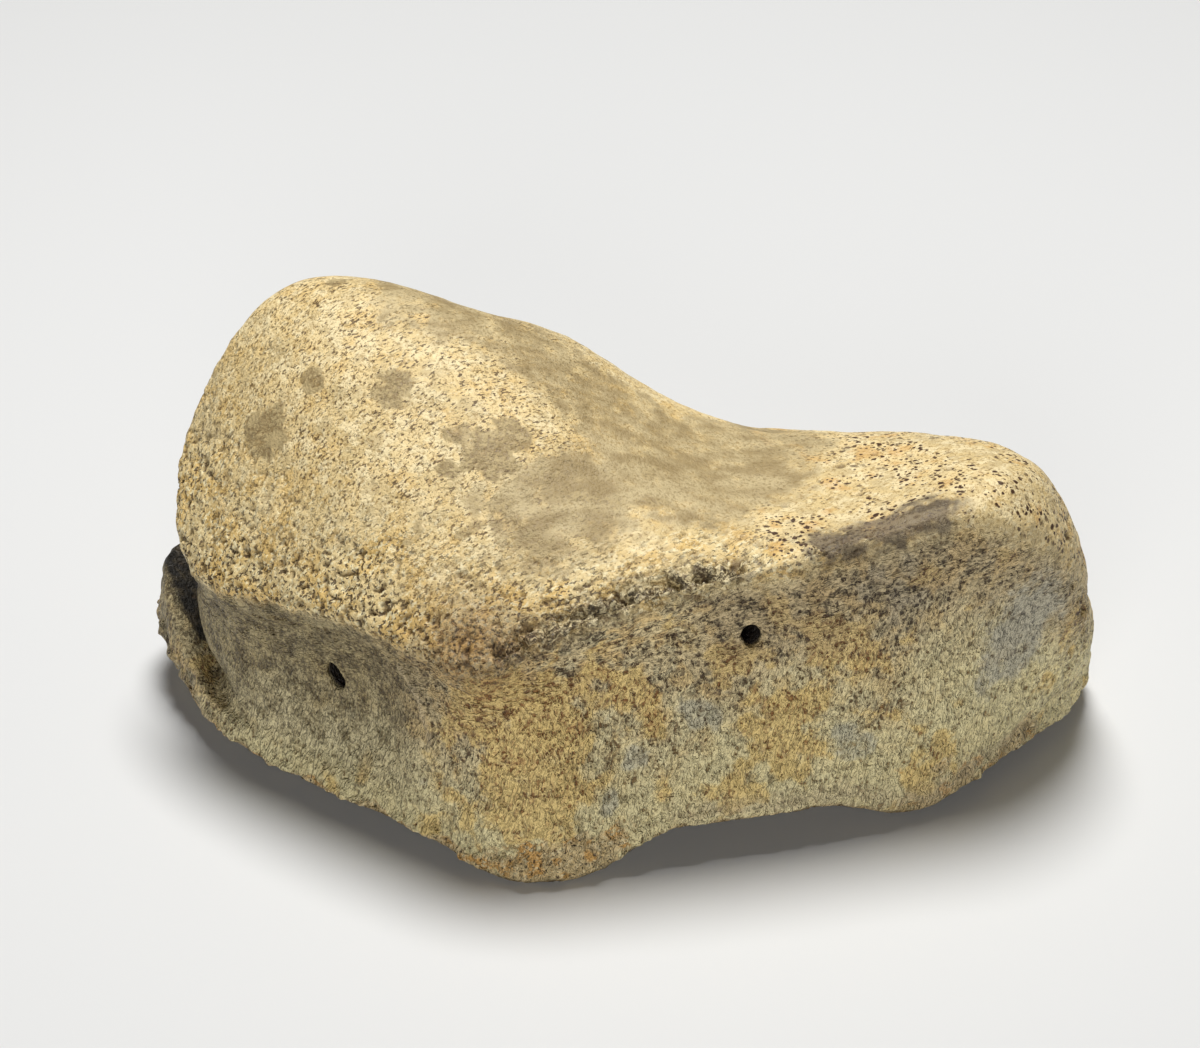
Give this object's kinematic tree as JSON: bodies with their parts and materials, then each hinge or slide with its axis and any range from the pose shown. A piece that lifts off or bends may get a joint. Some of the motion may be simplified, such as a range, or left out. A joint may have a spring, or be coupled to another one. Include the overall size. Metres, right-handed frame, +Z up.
{
  "type": "fossil hadrosaur toe bone",
  "caption": "Short, wide fossil toe bone of a duck-billed dinosaur, resting on its hollow joint face with the saddle-shaped joint face on top.",
  "frame": {"origin": "middle of the bounding box, at the floor that the bone rests on", "axes": "+X along the bone's width towards the low condyle, +Y from its sole side to its back, +Z up from the hollow joint face to the saddle-shaped one"},
  "size_m": [0.098, 0.0618, 0.0476],
  "materials": {
    "fossil_bone": "Matt, porous fossil bone: cream and ochre joint face, grey-brown walls"
  },
  "bodies": {
    "root": {"toe_bone": "fossil_bone"}
  },
  "joints": []
}
